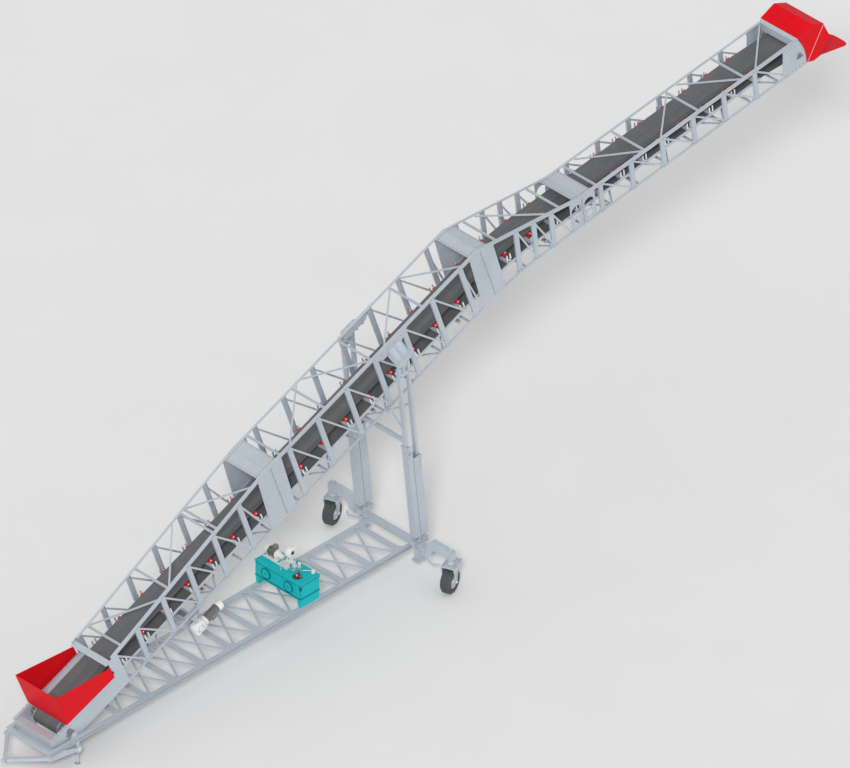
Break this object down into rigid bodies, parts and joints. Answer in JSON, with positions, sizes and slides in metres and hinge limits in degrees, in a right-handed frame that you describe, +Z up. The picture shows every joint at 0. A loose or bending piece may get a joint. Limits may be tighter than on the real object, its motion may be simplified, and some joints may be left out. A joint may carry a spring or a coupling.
{
  "type": "mobile belt conveyor",
  "caption": "Mobile belt conveyor with a cranked lattice boom on telescopic legs, castor wheels, feed hopper and discharge spout.",
  "frame": {"origin": "on the ground under the middle of the whole length and width", "axes": "+X from the tow eye to the discharge spout, +Y to the left, +Z up"},
  "size_m": [29.6398, 4.7027, 9.5459],
  "materials": {
    "galvanised_steel": "satin light blue-grey paint over steel sections",
    "red_paint": "gloss red paint on sheet steel",
    "belt_rubber": "matt dark grey belting",
    "roller_steel": "turned steel",
    "roller_red": "red painted roll shells",
    "teal_paint": "satin turquoise paint",
    "grey_machine_paint": "light grey machine paint",
    "tyre_rubber": "matt black rubber",
    "rim_paint": "light grey rim paint"
  },
  "bodies": {
    "undercarriage": {"undercarriage_frame": "galvanised_steel", "axle_beam": "galvanised_steel", "outrigger_arm_left": "galvanised_steel", "outrigger_arm_right": "galvanised_steel", "tow_bar": "galvanised_steel", "boom_hinge_ears": "galvanised_steel", "jack_tube_left": "galvanised_steel", "jack_tube_right": "galvanised_steel", "hydraulic_tank": "teal_paint", "pump_set": "grey_machine_paint"},
    "boom": {"boom_side_lower_left": "galvanised_steel", "boom_side_lower_right": "galvanised_steel", "boom_side_upper_left": "galvanised_steel", "boom_side_upper_right": "galvanised_steel", "boom_top_bracing": "galvanised_steel", "boom_bottom_bracing": "galvanised_steel", "boom_tail_box": "galvanised_steel", "feed_hopper": "red_paint", "head_side_plates": "galvanised_steel", "head_hood": "red_paint", "discharge_spout": "red_paint", "conveyor_belt": "belt_rubber", "tail_pulley": "roller_steel", "head_pulley": "roller_steel", "carrying_rolls": "roller_red", "idler_stands": "galvanised_steel", "return_rolls": "roller_steel", "drive_frame": "galvanised_steel", "drive_pulley": "roller_steel", "drive_gearmotor": "grey_machine_paint", "trunnion_bracket_left": "galvanised_steel", "trunnion_bracket_right": "galvanised_steel"},
    "legs": {"leg_outer_left": "galvanised_steel", "leg_outer_right": "galvanised_steel"},
    "leg_columns": {"leg_inner_left": "galvanised_steel", "leg_inner_right": "galvanised_steel", "leg_cross_beam": "galvanised_steel"},
    "castor_left": {"castor_fork_left": "galvanised_steel"},
    "castor_right": {"castor_fork_right": "galvanised_steel"},
    "wheel_left": {"rim_left": "rim_paint", "tyre_left": "tyre_rubber"},
    "wheel_right": {"rim_right": "rim_paint", "tyre_right": "tyre_rubber"},
    "jack_left": {"jack_leg_left": "galvanised_steel"},
    "jack_right": {"jack_leg_right": "galvanised_steel"}
  },
  "joints": [
    {"name": "boom_raise", "type": "hinge", "parent": "undercarriage", "child": "boom", "pos_m": [-12.99, 0, 0.885], "axis": [0, -1, 0], "range_deg": [-0.25, 5]},
    {"name": "leg_lean", "type": "hinge", "parent": "undercarriage", "child": "legs", "pos_m": [-1.15, 0, 1.1], "axis": [0, -1, 0], "range_deg": [-0.39, 4.01]},
    {"name": "leg_extend", "type": "slide", "parent": "legs", "child": "leg_columns", "axis": [-0.1071, 0, 0.9942], "range_m": [-0.0613, 1.0356]},
    {"name": "castor_left_swivel", "type": "hinge", "parent": "undercarriage", "child": "castor_left", "pos_m": [-1.15, 2.09, 1], "axis": [0, 0, 1], "range_deg": [-90, 90]},
    {"name": "castor_right_swivel", "type": "hinge", "parent": "undercarriage", "child": "castor_right", "pos_m": [-1.15, -2.09, 1], "axis": [0, 0, 1], "range_deg": [-90, 90]},
    {"name": "wheel_left_roll", "type": "hinge", "parent": "castor_left", "child": "wheel_left", "pos_m": [-1.20638, 2.06948, 0.34], "axis": [-0.342, 0.9397, 0], "continuous": true},
    {"name": "wheel_right_roll", "type": "hinge", "parent": "castor_right", "child": "wheel_right", "pos_m": [-1.20638, -2.11052, 0.34], "axis": [-0.342, 0.9397, 0], "continuous": true},
    {"name": "jack_left_lift", "type": "slide", "parent": "undercarriage", "child": "jack_left", "axis": [0, 0, 1], "range_m": [0, 0.25]},
    {"name": "jack_right_lift", "type": "slide", "parent": "undercarriage", "child": "jack_right", "axis": [0, 0, 1], "range_m": [0, 0.25]}
  ],
  "couplings": [
    {"joint": "leg_lean", "follows": "boom_raise", "ratio": 0.76242},
    {"joint": "leg_extend", "follows": "boom_raise", "m_per_rad": 11.753}
  ]
}
